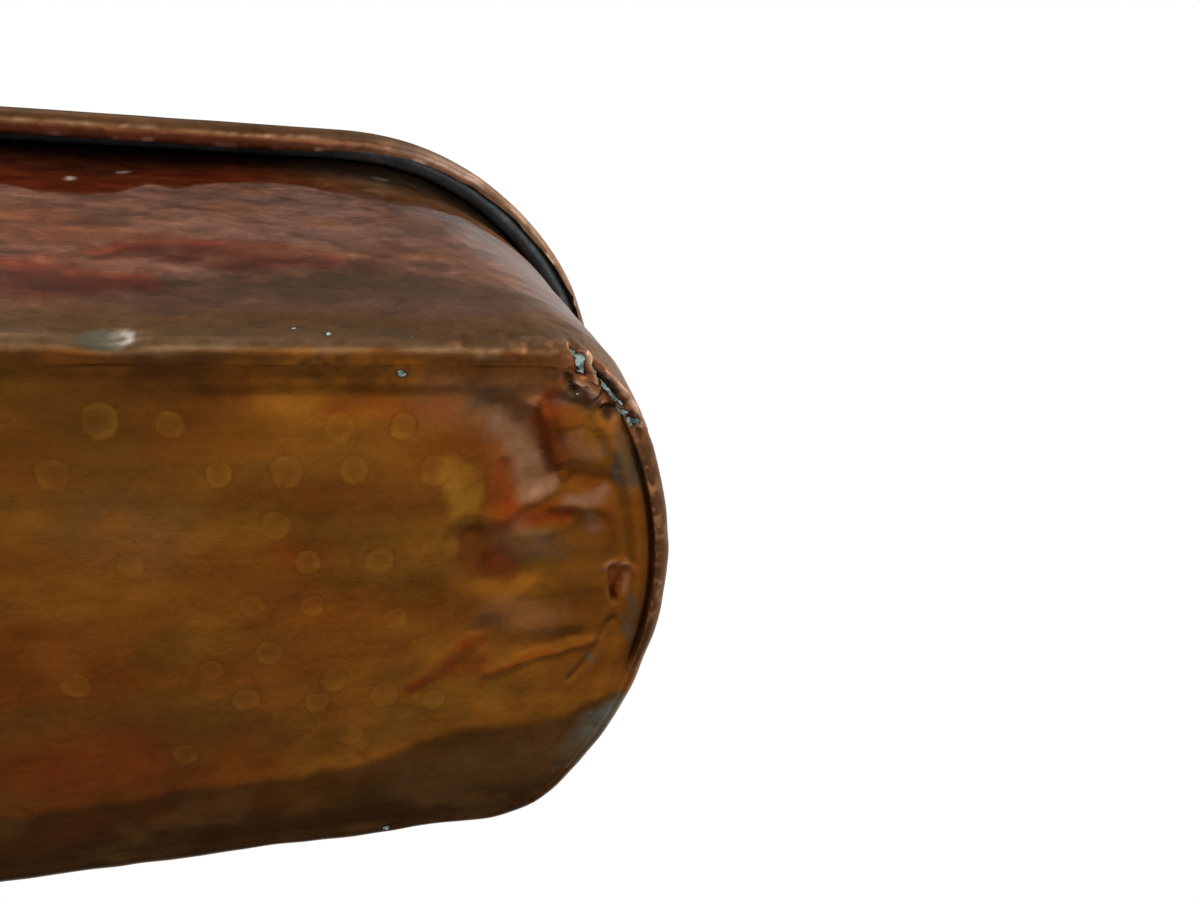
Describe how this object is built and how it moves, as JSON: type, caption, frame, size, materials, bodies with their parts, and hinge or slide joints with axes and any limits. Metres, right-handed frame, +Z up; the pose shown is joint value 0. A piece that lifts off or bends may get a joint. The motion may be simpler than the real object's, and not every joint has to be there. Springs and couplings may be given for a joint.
{
  "type": "fish kettle",
  "caption": "Long copper fish kettle with rounded ends, a rim rolled over iron wire, drop handles, a lift-out pierced drainer and a fitted lid.",
  "frame": {"origin": "middle of the underside, on the plane that the kettle stands on", "axes": "+X along the kettle towards its right end, +Y towards its back wall, +Z up"},
  "size_m": [0.5806, 0.2106, 0.201],
  "materials": {
    "aged_copper": "hammered, tarnished copper",
    "black_iron": "forged, blackened iron",
    "tinned_copper": "dull hot-tinned copper"
  },
  "bodies": {
    "kettle": {"front_wall_sheet": "aged_copper", "back_wall_sheet": "aged_copper", "base_plate": "aged_copper", "rim_wire": "black_iron", "right_handle_plate": "black_iron", "left_handle_plate": "black_iron", "right_handle_rivets": "aged_copper", "left_handle_rivets": "aged_copper"},
    "right_handle": {"right_bail": "black_iron"},
    "left_handle": {"left_bail": "black_iron"},
    "drainer": {"drainer_plate": "tinned_copper", "drainer_feet": "tinned_copper", "right_lifting_handle": "tinned_copper", "left_lifting_handle": "tinned_copper"},
    "lid": {"lid_panel": "aged_copper", "lid_collar": "aged_copper", "lid_handle": "black_iron", "lid_handle_rivets": "aged_copper"}
  },
  "joints": [
    {"name": "right_handle_swing", "type": "hinge", "parent": "kettle", "child": "right_handle", "pos_m": [0.2846, 0, 0.092], "axis": [0, -1, 0], "range_deg": [0, 150]},
    {"name": "left_handle_swing", "type": "hinge", "parent": "kettle", "child": "left_handle", "pos_m": [-0.2846, 0, 0.092], "axis": [0, 1, 0], "range_deg": [0, 150]},
    {"name": "drainer_lift", "type": "slide", "parent": "kettle", "child": "drainer", "axis": [0, 0, 1], "range_m": [0, 0.18]},
    {"name": "lid_lift", "type": "slide", "parent": "drainer", "child": "lid", "axis": [0, 0, 1], "range_m": [0, 0.15]}
  ]
}
